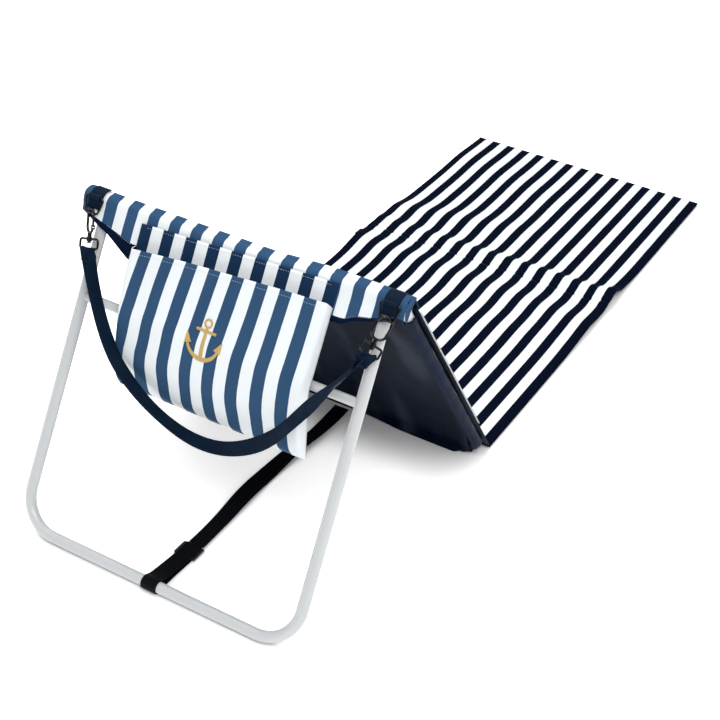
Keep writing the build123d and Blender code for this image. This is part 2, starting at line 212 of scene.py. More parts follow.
class Shader(Nodes):
    """A Principled material with short calls for its nodes, kept in LOOKS under its name."""

    def __init__(self, name, **sockets):
        self.material = bpy.data.materials.new(name)
        LOOKS[name] = self.material
        self.material.use_nodes = True
        super().__init__(self.material.node_tree)
        self.bsdf = self.tree.nodes["Principled BSDF"]
        self.set(**sockets)

    def cloth_uv(self):
        """Across and along the cloth, in metres."""
        uv = self.add("UVMap", uv_map="metres")
        parts = self.add("SeparateXYZ", {"Vector": uv.outputs[0]})
        return uv.outputs[0], parts.outputs[0], parts.outputs[1]

    def place(self):
        return self.add("TexCoord").outputs["Object"]

    def noise(self, vector, scale, detail=3.0, roughness=0.5):
        inputs = {"Vector": vector, "Scale": scale, "Detail": detail, "Roughness": roughness}
        return self.add("TexNoise", inputs).outputs["Fac"]

    def sine(self, value, pitch):
        return self.math("SINE", self.math("MULTIPLY", value, 2 * math.pi / pitch))

    def mix(self, factor, first, second):
        node = self.add("Mix", data_type="RGBA")
        self.feed(factor, node.inputs["Factor"])
        self.feed(first, node.inputs[6])
        self.feed(second, node.inputs[7])
        return node.outputs[2]

    def tones(self, factor, colour, low, high):
        """The colour at low times its brightness where the factor is 0, and at high where it is 1."""
        return self.mix(factor, shade(colour, low), shade(colour, high))

    def spread(self, value, low, high):
        """A 0 to 1 value carried to low to high."""
        return self.math("MULTIPLY_ADD", value, high - low, low)

    def ramp(self, value, low, high):
        """0 below low, 1 above high, smooth between."""
        inputs = {"Value": value, "From Min": low, "From Max": high}
        return self.add("MapRange", inputs, interpolation_type="SMOOTHSTEP").outputs[0]

    def bump(self, height, distance, normal=None):
        node = self.add("Bump", {"Height": height, "Distance": distance, "Strength": 1.0})
        self.feed(normal, node.inputs["Normal"])
        return node.outputs[0]

    def set(self, **sockets):
        for socket, value in sockets.items():
            self.feed(value, self.bsdf.inputs[socket.replace("_", " ")])

    def finish(self, colour, normal, rough=None):
        self.set(Base_Color=colour, Normal=normal, Roughness=rough)


def shade(colour, factor):
    return tuple(c * factor for c in colour[:3]) + (1.0,)


def weave_height(shader, across, along, pitch):
    """Plain weave: warp and weft threads that pass over each other in turn."""
    warp = shader.sine(across, pitch)
    weft = shader.sine(along, pitch)
    return shader.math("ADD", shader.math("MULTIPLY", warp, weft), shader.math("MAXIMUM", warp, weft))


def striped_canvas(name, navy, white, width=STRIPE, first_white=False):
    """Woven polyester with printed stripes, the first stripe starting at the cloth's edge."""
    shader = Shader(name, Specular_IOR_Level=0.025)
    uv, across, along = shader.cloth_uv()
    wobble = shader.spread(shader.noise(uv, 60.0), 0.0, 0.0006)
    shifted = shader.math("ADD", across, wobble)
    phase = shader.math("FRACT", shader.math("DIVIDE", shifted, 2 * width))
    half = shader.ramp(phase, 0.497, 0.503)
    start = shader.ramp(phase, 0.0, 0.006)
    mask = shader.math("SUBTRACT", start, half)
    if first_white:
        mask = shader.math("SUBTRACT", 1.0, mask)
    tone = shader.noise(uv, 14.0, 5.0)
    thread = shader.noise(uv, 900.0, 2.0)
    fade = shader.math("MULTIPLY_ADD", thread, 0.35, shader.math("MULTIPLY", tone, 0.65))
    dark = shader.tones(fade, navy, 0.72, 1.34)
    light = shader.tones(fade, white, 0.94, 1.04)
    colour = shader.mix(mask, light, dark)
    weave = shader.bump(weave_height(shader, across, along, 0.00095), 0.00004)
    soft = shader.bump(shader.noise(uv, 26.0, 2.0), 0.0012, weave)
    rough = shader.spread(thread, 0.62, 0.82)
    shader.finish(colour, soft, rough)


def lining_cloth(name, navy, gloss=0.42):
    """Coated polyester: tight weave, with long slanting streaks of painted highlight standing in for
    the sheen on its folds.
    """
    shader = Shader(name, Specular_IOR_Level=0.035)
    uv, across, along = shader.cloth_uv()
    tone = shader.noise(uv, 11.0, 5.0)
    clean = shader.tones(tone, navy, 0.6, 1.3)
    settings = {"Vector": uv, "Rotation": (0, 0, math.radians(20)), "Scale": (1.0, 0.17, 1.0)}
    streaks = shader.noise(shader.add("Mapping", settings).outputs[0], 13.0, 2.0)
    # Painted highlight: long slanting streaks of noise painted lighter, standing in for the light
    # caught by the lining's folds.
    painted_highlight = shader.math("MULTIPLY", shader.ramp(streaks, 0.50, 0.72), 0.75)
    colour = shader.mix(painted_highlight, clean, (0.030, 0.039, 0.062, 1.0))
    weave = shader.bump(weave_height(shader, across, along, 0.0007), 0.00005)
    creases = shader.bump(shader.noise(uv, 38.0, 4.0), 0.0010, weave)
    rough = shader.spread(tone, gloss - 0.07, gloss + 0.1)
    shader.finish(colour, creases, rough)


def webbing(name, colour):
    """Ribbed polypropylene webbing with a herringbone face, a little paler where it is worn."""
    shader = Shader(name, Specular_IOR_Level=0.08)
    uv, across, along = shader.cloth_uv()
    ribs = shader.math("ABSOLUTE", shader.sine(along, 0.0028))
    chevron = shader.math("ADD", shader.math("PINGPONG", across, 0.0021), along)
    herring = shader.math("ABSOLUTE", shader.sine(chevron, 0.0022))
    thread = shader.noise(uv, 700.0, 2.0)
    tone = shader.noise(uv, 25.0, 4.0)
    light = shader.math("MULTIPLY_ADD", herring, 0.5, shader.math("MULTIPLY", thread, 0.5))
    base = shader.tones(light, colour, 0.55, 1.5)
    worn = shader.mix(shader.ramp(tone, 0.5, 0.9), base, shade(colour, 1.9))
    height = shader.math("ADD", ribs, herring)
    normal = shader.bump(height, 0.00016)
    rough = shader.spread(thread, 0.5, 0.75)
    shader.finish(worn, normal, rough)


def powder_coat(name, colour):
    """Satin powder coat with a faint orange peel and a few grey scuffs."""
    shader = Shader(name, Coat_Weight=0.15, Coat_Roughness=0.3, Specular_IOR_Level=0.5)
    place = shader.place()
    scuff = shader.ramp(shader.noise(place, 34.0, 6.0, 0.7), 0.66, 0.74)
    tone = shader.noise(place, 9.0)
    clean = shader.tones(tone, colour, 0.96, 1.03)
    marked = shader.mix(shader.math("MULTIPLY", scuff, 0.35), clean, shade(colour, 0.62))
    peel = shader.bump(shader.noise(place, 1400.0, 2.0), 0.00004)
    rough = shader.spread(scuff, 0.3, 0.5)
    shader.finish(marked, peel, rough)


def plated(name, colour, rough_low, rough_high):
    """Plated metal with fine polishing marks and duller spots."""
    shader = Shader(name, Metallic=1.0)
    place = shader.place()
    stretched = shader.add("Mapping", {"Vector": place, "Scale": (1.0, 6.0, 1.0)}).outputs[0]
    marks = shader.noise(stretched, 900.0, 3.0)
    spots = shader.noise(place, 120.0, 4.0)
    tint = shader.tones(spots, colour, 0.8, 1.25)
    rough = shader.spread(spots, rough_low, rough_high)
    shader.finish(tint, shader.bump(marks, 0.00002), rough)


def moulded(name, colour, rough):
    """Moulded plastic with a fine spark-eroded grain."""
    shader = Shader(name, Specular_IOR_Level=0.45)
    place = shader.place()
    grain = shader.noise(place, 2200.0, 2.0)
    tone = shader.noise(place, 60.0, 3.0)
    tint = shader.tones(tone, colour, 0.85, 1.15)
    dull = shader.spread(grain, rough - 0.06, rough + 0.08)
    shader.finish(tint, shader.bump(grain, 0.00003), dull)


def gold_thread(name):
    """Satin stitch: bright parallel threads laid across each stroke."""
    shader = Shader(name, Sheen_Weight=0.15, Sheen_Roughness=0.3, Specular_IOR_Level=0.5)
    uv, _, along = shader.cloth_uv()
    threads = shader.math("ABSOLUTE", shader.sine(along, 0.0013))
    tone = shader.noise(uv, 160.0, 3.0)
    light = shader.math("MULTIPLY_ADD", threads, 0.6, shader.math("MULTIPLY", tone, 0.4))
    colour = shader.mix(light, (0.24, 0.13, 0.02, 1), (0.66, 0.44, 0.11, 1))
    rough = shader.spread(tone, 0.3, 0.5)
    shader.finish(colour, shader.bump(threads, 0.0002), rough)


def sewing_thread(name, colour):
    """Twisted sewing thread."""
    shader = Shader(name, Roughness=0.6, Sheen_Weight=0.2)
    place = shader.place()
    twist = shader.noise(place, 2600.0, 2.0)
    tint = shader.tones(twist, colour, 0.7, 1.1)
    shader.finish(tint, shader.bump(twist, 0.00006))


MAT_NAVY = (0.0004, 0.0022, 0.0095)
# Painted sheen: the hood's and the pouch front's navy is the mat's cloth painted far lighter, standing
# in for the light these faces catch.
HOOD_PAINTED_SHEEN_NAVY = (0.0270, 0.0680, 0.1400)
POUCH_PAINTED_SHEEN_NAVY = (0.0260, 0.0650, 0.1320)
# Painted shade: the pouch's back wall takes that lit-up navy painted darker, standing in for the shade
# on it.
POUCH_BACK_PAINTED_SHADE_NAVY = (0.0080, 0.0250, 0.0620)
WHITE = (0.68, 0.72, 0.74)
LINING_NAVY = (0.0006, 0.0035, 0.0125)
SLEEVE_NAVY = (0.0006, 0.0060, 0.0240)
STRAP_NAVY = (0.0012, 0.0080, 0.0220)
BLACK = (0.0008, 0.0012, 0.0030)


def make_looks():
    """Fill LOOKS. The pouch's stripes are a touch wider than the mat's."""
    pouch_stripe = (2 * POUCH_HALF_W + 0.0008) / POUCH_STRIPES
    striped_canvas("mat_canvas", MAT_NAVY, WHITE)
    striped_canvas("back_canvas", MAT_NAVY, WHITE)
    striped_canvas("hood_canvas", HOOD_PAINTED_SHEEN_NAVY, WHITE)
    striped_canvas("pouch_back_canvas", POUCH_BACK_PAINTED_SHADE_NAVY, WHITE, pouch_stripe)
    striped_canvas("pouch_front_canvas", POUCH_PAINTED_SHEEN_NAVY, WHITE, pouch_stripe, first_white=True)
    lining_cloth("navy_lining", LINING_NAVY)
    lining_cloth("sleeve_lining", SLEEVE_NAVY, 0.5)
    webbing("navy_webbing", STRAP_NAVY)
    webbing("black_webbing", BLACK)
    powder_coat("white_tube", (0.47, 0.485, 0.495))
    moulded("tube_plug", (0.62, 0.64, 0.65), 0.45)
    plated("rivet_steel", (0.62, 0.63, 0.65), 0.25, 0.42)
    moulded("washer_nylon", (0.58, 0.59, 0.60), 0.5)
    plated("gunmetal", (0.030, 0.030, 0.034), 0.14, 0.30)
    moulded("black_plastic", (0.012, 0.012, 0.014), 0.4)
    gold_thread("gold_thread")
    sewing_thread("white_stitch", (0.60, 0.62, 0.64))
    sewing_thread("navy_stitch", (0.004, 0.010, 0.030))


CAD_FINISHES = {
    "white_tube": ("back_frame", "leg_frame", "top_bar", "crossbar"),
    "tube_plug": ("back_caps", "leg_domes"),
    "rivet_steel": ("pivot_rivets",),
    "washer_nylon": ("pivot_washers",),
    "gunmetal": (
        "d_ring_left", "d_ring_right", "hook_left", "hook_right",
        "gate_left", "gate_right", "eye_left", "eye_right",
    ),
    "black_plastic": ("carry_slider", "floor_slider"),
}


def dress_cad():
    """Real finishes on the frame's own tubes and fittings."""
    for finish, names in CAD_FINISHES.items():
        for name in names:
            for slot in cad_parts[name].material_slots:
                slot.material = LOOKS[finish]


# ---- geometry helpers

def leg_point(x, drop, out):
    """A point that is drop below the pivot along the legs and out from their plane."""
    y = PIVOT_Y - drop * math.cos(LEG_TILT) - out * math.sin(LEG_TILT)
    z = PIVOT_Z - drop * math.sin(LEG_TILT) + out * math.cos(LEG_TILT)
    return x, y, z


def back_point(x, up, front):
    """A point that is up from the lower bar along the back and in front of its tubes."""
    y = BACK_Y - up * math.cos(BACK_TILT) + front * math.sin(BACK_TILT)
    z = BACK_Z + up * math.sin(BACK_TILT) + front * math.cos(BACK_TILT)
    return x, y, z


def pivot_point(x, radius, angle):
    """A point around the pivot axis, its angle in degrees from +Y upwards."""
    turn = np.radians(angle)
    return x, PIVOT_Y + radius * np.cos(turn), PIVOT_Z + radius * np.sin(turn)


def arc(y, z, radius, degrees):
    """(Y, Z) points on a circle seen from the side, at the angles given."""
    turns = [math.radians(angle) for angle in degrees]
    return [(y + radius * math.cos(turn), z + radius * math.sin(turn)) for turn in turns]


def hump(value, centre, width):
    """A bell of height 1 around the centre."""
    return np.exp(-(((value - centre) / width) ** 2))


def smooth(value, low, high):
    """0 below low, 1 above high, with a soft step between."""
    t = np.clip((value - low) / (high - low), 0, 1)
    return t * t * (3 - 2 * t)


def smooth_path(points, count):
    """Points evenly along a Catmull-Rom curve through the given ones."""
    given = np.array(points, float)
    ends = np.vstack([2 * given[0] - given[1], given, 2 * given[-1] - given[-2]])
    line = []
    for i in range(len(given) - 1):
        a, b, c, d = ends[i:i + 4]
        for t in np.linspace(0, 1, 24, endpoint=False):
            line.append(0.5 * (
                2 * b + (c - a) * t
                + (2 * a - 5 * b + 4 * c - d) * t ** 2
                + (3 * b - a - 3 * c + d) * t ** 3
            ))
    line = np.array(line + [given[-1]])
    return spaced(line, count)


def spaced(line, count):
    """The same line with its points evenly spaced."""
    travelled = distances(line)
    wanted = np.linspace(0, travelled[-1], count)
    return np.stack([np.interp(wanted, travelled, line[:, k]) for k in range(line.shape[1])], axis=1)


def distances(line):
    """How far each point is along its line."""
    steps = np.linalg.norm(np.diff(line, axis=0), axis=1)
    return np.concatenate([[0], np.cumsum(steps)])


def swept(xs, section):
    """A grid of points from one (Y, Z) section at each station across."""
    columns = [(x, section(x)) for x in xs]
    return np.stack([np.column_stack([np.full(len(yz), x), yz]) for x, yz in columns], axis=1)


def grid_of(point):
    """One grid of points from its X, Y and Z values, any of which may be a single number."""
    return np.stack(np.broadcast_arrays(*point), axis=-1)


def with_edges(low, high, step, rim=(0.0006, 0.0018, 0.0040)):
    """Stations from low to high that crowd together near both edges."""
    inner = np.linspace(low + rim[-1], high - rim[-1], max(2, round((high - low) / step)))
    start = [low] + [low + r for r in rim[:-1]]
    end = [high - r for r in reversed(rim[:-1])] + [high]
    return np.concatenate([start, inner, end])


def edge_round(distance, reach):
    """How full the padding is at a distance from the sewn edge."""
    t = np.clip(distance / reach, 0, 1)
    return np.sqrt(np.clip(1 - (1 - t) ** 2, 0, 1))


def grid_normals(points):
    """Unit normals of a grid of points."""
    down = np.gradient(points, axis=0)
    along = np.gradient(points, axis=1)
    normals = np.cross(along, down)
    return normals / np.maximum(np.linalg.norm(normals, axis=2, keepdims=True), 1e-12)


def cloth(name, points, across, along, thickness, looks, facing, bands=None):
    """A closed sheet around a grid of middle points, its right side towards facing.

    across and along give the cloth coordinates in metres. The first look is the front's and
    the second, where there is one, the reverse's. bands picks a look for each row of the front.
    """
    rows, columns = points.shape[:2]
    normals = grid_normals(points)
    turned = float((normals @ np.array(facing, float)).sum()) < 0
    if turned:
        normals = -normals
    half = normals * (np.broadcast_to(thickness, (rows, columns))[..., None] / 2)
    vertices = np.concatenate([(points + half).reshape(-1, 3), (points - half).reshape(-1, 3)])
    count = rows * columns
    index = np.arange(count).reshape(rows, columns)
    corners = (index[:-1, :-1], index[:-1, 1:], index[1:, 1:], index[1:, :-1])
    front = np.stack(corners, axis=-1).reshape(-1, 4)
    reverse = front[:, ::-1] + count
    loop = np.concatenate([index[0, :], index[1:, -1], index[-1, -2::-1], index[-2:0:-1, 0]])
    ahead = np.roll(loop, -1)
    rim = np.stack([ahead, loop, loop + count, ahead + count], axis=-1)
    faces = np.concatenate([front, reverse, rim])
    if not turned:
        faces = faces[:, ::-1]
    mesh = new_mesh(name, vertices.tolist(), faces.tolist(), looks)
    uv_pairs = grid_of((across, along)).reshape(-1, 2)
    set_uv(mesh, np.concatenate([uv_pairs, uv_pairs]))
    choice = np.zeros(len(faces), int)
    if bands is not None:
        choice[:len(front)] = np.repeat(bands, columns - 1)
    if len(looks) > 1:
        choice[len(front):len(front) * 2] = 1
    mesh.polygons.foreach_set("material_index", choice)
    return link(name, mesh)


def new_mesh(name, vertices, faces, looks):
    mesh = bpy.data.meshes.new(name)
    mesh.from_pydata(vertices, [], faces)
    for look in looks:
        mesh.materials.append(LOOKS[look])
    return mesh


def set_uv(mesh, pairs):
    """Each vertex's own pair of cloth coordinates, in metres."""
    layer = mesh.uv_layers.new(name="metres")
    corners = np.zeros(len(mesh.loops), int)
    mesh.loops.foreach_get("vertex_index", corners)
    layer.data.foreach_set("uv", pairs[corners].reshape(-1))


def link(name, mesh):
    """A smooth shaded piece in the scene."""
    mesh.polygons.foreach_set("use_smooth", [True] * len(mesh.polygons))
    mesh.update()
    return add_object(name, mesh)


def ribbon(name, path, width_axes, look, width=STRAP_W, thickness=STRAP_T):
    """Flat webbing along a path, its width along one axis or along one for each point."""
    path = np.array(path, float)
    tangents = np.gradient(path, axis=0)
    tangents /= np.linalg.norm(tangents, axis=1, keepdims=True)
    axes = np.array(np.broadcast_to(width_axes, path.shape), float)
    axes -= tangents * (axes * tangents).sum(1, keepdims=True)
    axes /= np.linalg.norm(axes, axis=1, keepdims=True)
    normals = np.cross(tangents, axes)
    shape = webbing_section(width, thickness)
    wide = axes[:, None, :] * shape[None, :, :1]
    deep = normals[:, None, :] * shape[None, :, 1:]
    rings = path[:, None, :] + wide + deep
    return tube_mesh(name, rings, shape[:, 0] + width / 2, distances(path), look)


def webbing_section(width, thickness):
    """Half width and half thickness points of flat webbing with slightly fuller selvedges."""
    half = width / 2
    t = thickness / 2
    upper = [
        (-half, 0.0), (-half + 0.0003, t * 0.8), (-half + 0.0012, t * 1.12), (-half + 0.0030, t),
        (0.0, t * 0.92), (half - 0.0030, t), (half - 0.0012, t * 1.12), (half - 0.0003, t * 0.8),
    ]
    lower = [(-x, -z) for x, z in upper]
    return np.array(upper + lower)


def tube_mesh(name, rings, across, along, look):
    """A closed skin over a row of rings, with both ends capped."""
    count, sides = rings.shape[:2]
    index = np.arange(count * sides).reshape(count, sides)
    ahead = np.roll(index, -1, axis=1)
    faces = np.stack([index[:-1], index[1:], ahead[1:], ahead[:-1]], axis=-1).reshape(-1, 4).tolist()
    faces.append(index[0].tolist())
    faces.append(index[-1][::-1].tolist())
    mesh = new_mesh(name, rings.reshape(-1, 3).tolist(), faces, (look,))
    set_uv(mesh, np.stack([np.tile(across, count), np.repeat(along, sides)], axis=-1))
    return link(name, mesh)


def thread_runs(name, runs, look, stitch=0.0026, gap=0.0011, radius=0.00020):
    """Rows of separate stitches lying on a surface; each run is a list of points on it."""
    step = 0.0004
    per = round(stitch / step)
    skip = per + round(gap / step)
    vertices = []
    faces = []
    for run in runs:
        line = np.array(run, float)
        dense = spaced(line, max(4, int(distances(line)[-1] / step)))
        for start in range(0, len(dense) - per, skip):
            add_stitch(vertices, faces, dense[start], dense[start + per - 1], radius)
    return link(name, new_mesh(name, vertices, faces, (look,)))


def add_stitch(vertices, faces, start, end, radius, sides=6):
    """One stitch: a thin spindle from start to end."""
    axis = Vector(end) - Vector(start)
    side = axis.orthogonal().normalized()
    other = axis.normalized().cross(side)
    first = len(vertices)
    spindle = ((0.0, 0.35), (0.2, 1.0), (0.8, 1.0), (1.0, 0.35))
    for share, fullness in spindle:
        centre = Vector(start) + axis * share
        for k in range(sides):
            turn = 2 * math.pi * k / sides
            offset = side * math.cos(turn) + other * math.sin(turn)
            vertices.append(tuple(centre + offset * radius * fullness))
    for ring in range(len(spindle) - 1):
        base = first + ring * sides
        for k in range(sides):
            a = base + k
            b = base + (k + 1) % sides
            faces.append((a, b, b + sides, a + sides))
    last = first + (len(spindle) - 1) * sides
    faces.append(tuple(first + k for k in reversed(range(sides))))
    faces.append(tuple(last + k for k in range(sides)))


def route_line(name, route, count):
    """Points along the smooth NURBS line through a cord's route."""
    curve = bpy.data.curves.new(name, "CURVE")
    curve.dimensions = "3D"
    curve.resolution_u = 32
    spline = curve.splines.new("NURBS")
    spline.points.add(len(route) - 1)
    for point, place in zip(spline.points, route):
        point.co = (*place, 1)
    spline.order_u = 3
    spline.use_endpoint_u = True
    guide = add_object(name, curve)
    bpy.context.view_layer.update()
    mesh = bpy.data.meshes.new_from_object(guide)
    line = np.array([vertex.co[:] for vertex in mesh.vertices])
    bpy.data.objects.remove(guide)
    bpy.data.meshes.remove(mesh)
    bpy.data.curves.remove(curve)
    return spaced(line, count)


def belongs(piece, body, slot, *stands_for):
    """Attaches the piece to the body that it rides and hides the CAD nodes that it stands for; slot is
    not used.
    """
    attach(piece, body)
    if stands_for:
        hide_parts(*stands_for)


# ---- cords


def carry_webbing():
    """The carry strap: hangs in one curve between the two swivel eyes."""
    line = route_line("carry_route", CARRY_ROUTE, 180)
    share = np.linspace(-1, 1, len(line))
    tilt = 0.28 * np.sin(share * math.pi) + 0.10 * np.sin(share * 9)
    turned = math.radians(32) * smooth(share, 0.05, 0.40) * (1 - smooth(share, 0.66, 0.86))
    axes = [
        (-0.82 * math.sin(b), math.cos(a) * math.cos(b), math.sin(a) + 0.57 * math.sin(b))
        for a, b in zip(tilt, turned)
    ]
    strap = ribbon("carry_webbing", line, axes, "navy_webbing")
    belongs(strap, "legs", "navy_webbing", "carry_strap")
    carry_ends(line, axes)


def carry_ends(line, axes):
    """The strap's folded ends: round the lower bar of each eye and back on themselves."""
    for name, side, reach in (("left", 1, 16), ("right", -1, 7)):
        near = line[::side][:reach]
        width = np.array(axes[::side][:reach])
        ahead = np.gradient(near, axis=0)
        off = np.cross(ahead, width)
        off /= np.linalg.norm(off, axis=1, keepdims=True)
        bar = np.array((near[0][0] * EYE_BAR[0] / abs(CARRY_ROUTE[0][0]), *EYE_BAR[1:]))
        down = np.array((0, -math.cos(LEG_TILT), -math.sin(LEG_TILT)))
        turns = np.radians((10, 50, 90, 130, 170))
        around = [bar + 0.0028 * (LEG_OUT * math.cos(t) - down * math.sin(t)) for t in turns]
        facing = 1 if off[reach // 2] @ LEG_OUT > 0 else -1
        merge = smooth(np.arange(reach), reach / 2, reach - 1)
        apart = 0.0017 * facing * (1 - 0.9 * merge)[:, None]
        outer = near + off * apart
        inner = near - off * apart
        picks = np.linspace(3, reach - 1, 3).astype(int)
        path = smooth_path(np.vstack([outer[picks[::-1]], around, inner[picks]]), 70)
        nearest = np.linalg.norm(path[:, None, :] - near[None, :, :], axis=2).argmin(1)
        twist = smooth(nearest, 0, 5)[:, None]
        across = np.array((math.copysign(1.0, width[reach // 2] @ (1, 0.2, 0)), 0, 0))
        turned = across * (1 - twist) + width[nearest] * twist
        fold = ribbon(f"carry_end_{name}", path, turned, "navy_webbing", 0.019, 0.0013)
        belongs(fold, "legs", "navy_webbing")


def floor_webbing():
    """The floor strap: lies on the ground from the crease to the slider by the legs' bar."""
    line = route_line("floor_route", FLOOR_ROUTE, 120)
    along = np.linspace(0, 1, len(line))
    roll = 0.30 * np.sin(along * 7.5) * np.sin(along * math.pi)
    axes = [(math.cos(a), 0.0, math.sin(a)) for a in roll]
    strap = ribbon("floor_webbing", line, axes, "black_webbing")
    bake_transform(strap)
    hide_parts("floor_strap")


# ---- the mat

def mat_lift(x, y):
    """How far the mat's waves stand off the ground."""
    right = smooth(x, -0.22, 0.10)
    beyond = 0.0115 * hump(y, SEAM_Y + 0.030, 0.021) * (0.45 + 0.55 * right)
    before = 0.0065 * hump(y, SEAM_Y - 0.070 - 0.05 * x, 0.038)
    foot = 0.0075 * hump(y, SEAM_Y + 0.150 + 0.25 * x, 0.040) * smooth(-x, -0.12, 0.16)
    far = 0.0035 * hump(y, SEAM_Y + 0.300 - 0.3 * x, 0.060) * smooth(-x, -0.16, 0.1)
    seat = 0.0040 * hump(y, SEAM_Y - 0.215 + 0.35 * x, 0.055)
    edge = 0.009 * smooth(x, 0.20, HALF_W) * hump(y, SEAM_Y + 0.035, 0.07)
    left = 0.006 * smooth(-x, 0.19, HALF_W) * hump(y, SEAM_Y - 0.02, 0.09)
    seam = 0.0030 * hump(y, SEAM_Y, 0.012)
    ripple = 0.0005 * np.sin(x * 61 + y * 23) * hump(y, SEAM_Y, 0.10)
    held_flat = smooth(y, MAT_START + 0.01, MAT_START + 0.09)
    lift = beyond + before + foot + far + seat + edge + left + seam + ripple
    return np.maximum(lift, 0) * held_flat


def mat_thickness(x, y):
    """Full in the middle, closing to the sewn edges and pinched along the seam."""
    inset = np.minimum(HALF_W - np.abs(x), np.minimum(y - MAT_START, MAT_END - y))
    body = 0.0010 + (MAT_T - 0.0012) * edge_round(inset, 0.010)
    pinch = 1 - 0.72 * hump(y, SEAM_Y, 0.0035)
    return body * pinch


def mat_middle(x, y):
    return MAT_T / 2 + mat_lift(x, y)


def mat():
    """The padded mat: two foam-filled halves in one striped cover, sewn down between them."""
    xs = with_edges(-HALF_W, HALF_W, 0.0065)
    seat_rows = with_edges(MAT_START, SEAM_Y - 0.010, 0.0075)
    seam_rows = np.linspace(SEAM_Y - 0.0085, SEAM_Y + 0.0085, 13)
    foot_rows = with_edges(SEAM_Y + 0.010, MAT_END, 0.0075)
    ys = np.concatenate([seat_rows, seam_rows, foot_rows])
    x, y = np.meshgrid(xs, ys)
    points = grid_of((x, y, mat_middle(x, y)))
    piece = cloth(
        "mat", points, x + HALF_W, y - MAT_START, mat_thickness(x, y),
        ("mat_canvas", "navy_lining"), facing=(0, 0, 1),
    )
    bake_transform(piece)
    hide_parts("seat_cover", "seat_foam", "foot_cover", "foot_foam", "seam_hinge")
    mat_stitching()


def mat_top(x, y):
    return mat_middle(x, y) + mat_thickness(x, y) / 2


def mat_stitching():
    """Lockstitch along the seam and across the foot end."""
    inset = 0.0065
    xs = np.linspace(-HALF_W + inset, HALF_W - inset, 160)
    rows = (("seam_stitching", SEAM_Y, "seat"), ("foot_end_stitching", MAT_END - inset, "foot"))
    for name, y, body in rows:
        threads = thread_runs(name, [[(x, y, mat_top(x, y)) for x in xs]], "navy_stitch")
        belongs(threads, body, "striped_canvas")


def closure_tab():
    """The short loop of webbing sewn into the mat's left edge, just before the seam."""
    centre_y = CREASE_Y + 0.466
    out = (-0.004, 0.006, 0.0125, 0.0130, 0.006, -0.004)
    heights = (0.0052, 0.0050, 0.0034, 0.0020, 0.0012, 0.0012)
    line = smooth_path([(-HALF_W - x, centre_y, z) for x, z in zip(out, heights)], 40)
    tab = ribbon("seam_tab", line, (0, 1, 0), "black_webbing", 0.021, 0.0011)
    belongs(tab, "seat", "black_webbing", "closure_tab")


# ---- the back

def back_sag(x, up):
    """The share of its full sag at each place on the panel: none at the edges, all in the middle."""
    span = np.clip(1 - (x / 0.222) ** 2, 0, 1)
    return span * np.sin(np.clip(up / BACK_LEN, 0, 1) * math.pi)


def back_pad():
    """The foam-filled back panel in front of the tubes."""
    xs = with_edges(-HALF_W, HALF_W, 0.0065)
    ups = with_edges(PAD_BOTTOM, PAD_TOP, 0.0075)
    x, up = np.meshgrid(xs, ups)
    inset = np.minimum(HALF_W - np.abs(x), np.minimum(up - PAD_BOTTOM, PAD_TOP - up))
    thickness = 0.0010 + 0.0032 * edge_round(inset, 0.008)
    waves = 0.0011 * np.sin(up * 46 + 1.3 * np.sin(x * 17)) * back_sag(x, up)
    front = 0.0118 - 0.0050 * back_sag(x, up) + waves
    piece = cloth(
        "back_pad", grid_of(back_point(x, up, front)), x + HALF_W, up, thickness,
        ("back_canvas", "navy_lining"), facing=BACK_FRONT,
    )
    belongs(piece, "backrest", "striped_canvas", "back_cover", "back_foam")
    back_edge_highlight()
    crease_fold()


def back_edge_highlight():
    """A thin white strip along the panel's side edges: a painted highlight standing in for the light
    caught on the edge.
    """
    for name, side in SIDES:
        path = [back_point(side * HALF_W, up, 0.0126) for up in np.linspace(0.09, 0.495, 60)]
        # Painted highlight: a white strip where the panel's edge catches the light.
        cord = ribbon(f"back_edge_highlight_{name}", path, (1, 0, 0), "white_stitch", 0.0007, 0.0007)
        belongs(cord, "backrest", "striped_canvas")


def crease_fold():
    """The cover's folded cloth between the mat and the back panel."""
    xs = with_edges(-HALF_W + 0.002, HALF_W - 0.002, 0.0065)
    foot = (CREASE_Y + 0.022, MAT_T - 0.0002)
    _, y0, z0 = back_point(0, 0.014, 0.0141)
    section = smooth_path([foot, (CREASE_Y + 0.009, 0.0084), (CREASE_Y + 0.001, 0.0104), (y0, z0)], 14)
    points = np.array([[(x, y, z) for x in xs] for y, z in section])
    along = np.linspace(0, 0.03, len(section))[:, None]
    piece = cloth(
        "crease_fold", points, xs + HALF_W, along, 0.0009, ("back_canvas",), facing=(0, 1, 1)
    )
    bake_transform(piece)


def lining_section(x):
    """The back lining's path up the back at one station across, as (Y, Z) points."""
    fold_y = CREASE_Y - np.interp(abs(x), (0.0, 0.15, 0.20, 0.226), (0.028, 0.036, 0.036, 0.022))
    ground = [(CREASE_Y - 0.008, 0.0011), (CREASE_Y - 0.020, 0.0010), (fold_y, 0.0013)]
    ups = (0.010, 0.030, 0.080, 0.140, 0.300, 0.420, 0.508)
    fronts = (-0.0108, -0.0078, 0.0010, 0.0070, 0.0078, 0.0078, 0.0082)
    hanging = [back_point(0, up, front)[1:] for up, front in zip(ups, fronts)]
    return smooth_path(ground + hanging, 84)


